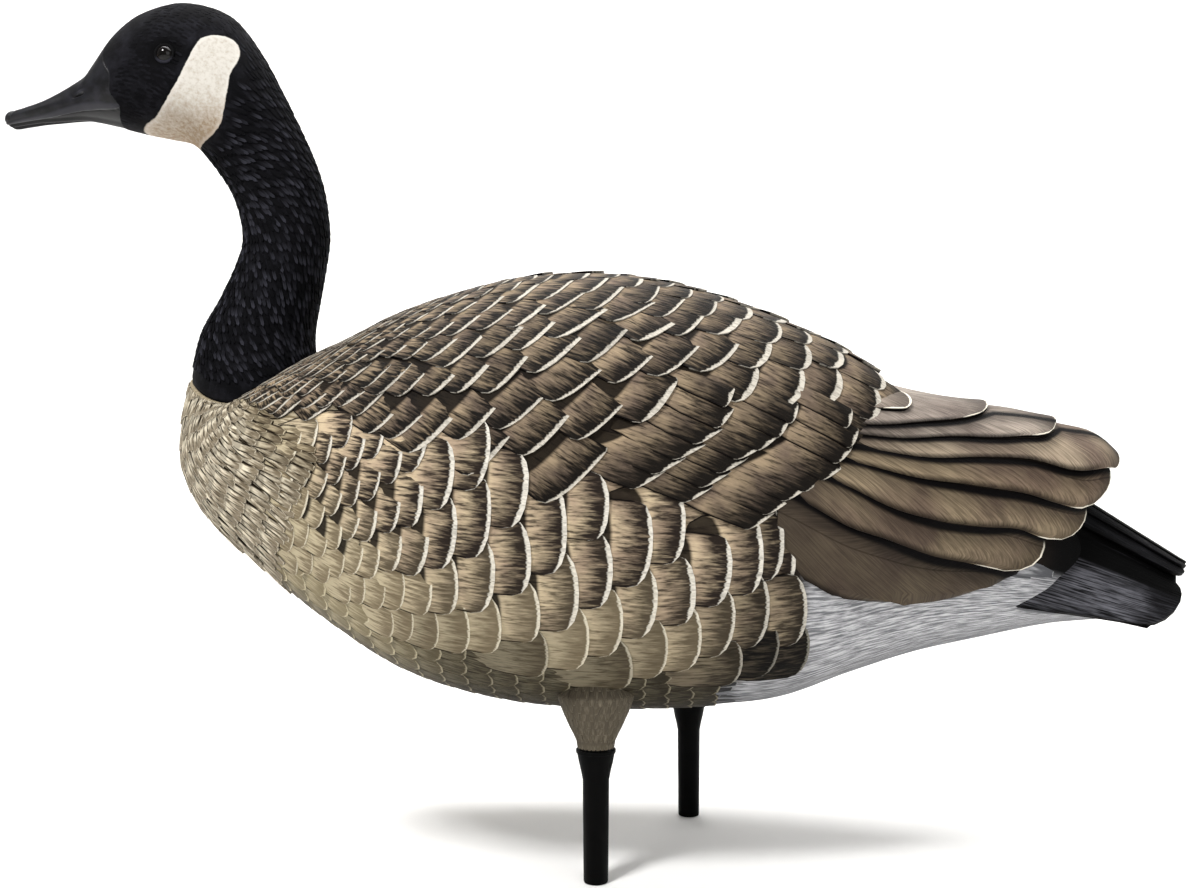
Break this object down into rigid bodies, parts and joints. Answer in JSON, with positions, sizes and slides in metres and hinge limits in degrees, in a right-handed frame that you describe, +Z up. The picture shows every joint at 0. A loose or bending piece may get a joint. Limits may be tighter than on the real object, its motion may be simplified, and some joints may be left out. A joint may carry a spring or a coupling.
{
  "type": "goose decoy",
  "caption": "Full-body standing goose decoy: feathered body with folded wings, upright flocked head and neck, and two leg pegs.",
  "frame": {"origin": "on the ground plane, midway between the ends of the two leg pegs", "axes": "+Z up; the goose faces -X, its left side faces -Y; length runs along X"},
  "size_m": [0.6972, 0.2508, 0.4945],
  "materials": {
    "plumage": "moulded plastic, painted feather by feather in matt browns with pale edges",
    "flocked_head": "black flock over moulded plastic, with an off-white cheek patch",
    "leg_plastic": "black moulded plastic with a satin sheen"
  },
  "bodies": {
    "root": {"body": "plumage", "head_neck": "flocked_head", "left_leg": "leg_plastic", "right_leg": "leg_plastic"}
  },
  "joints": []
}
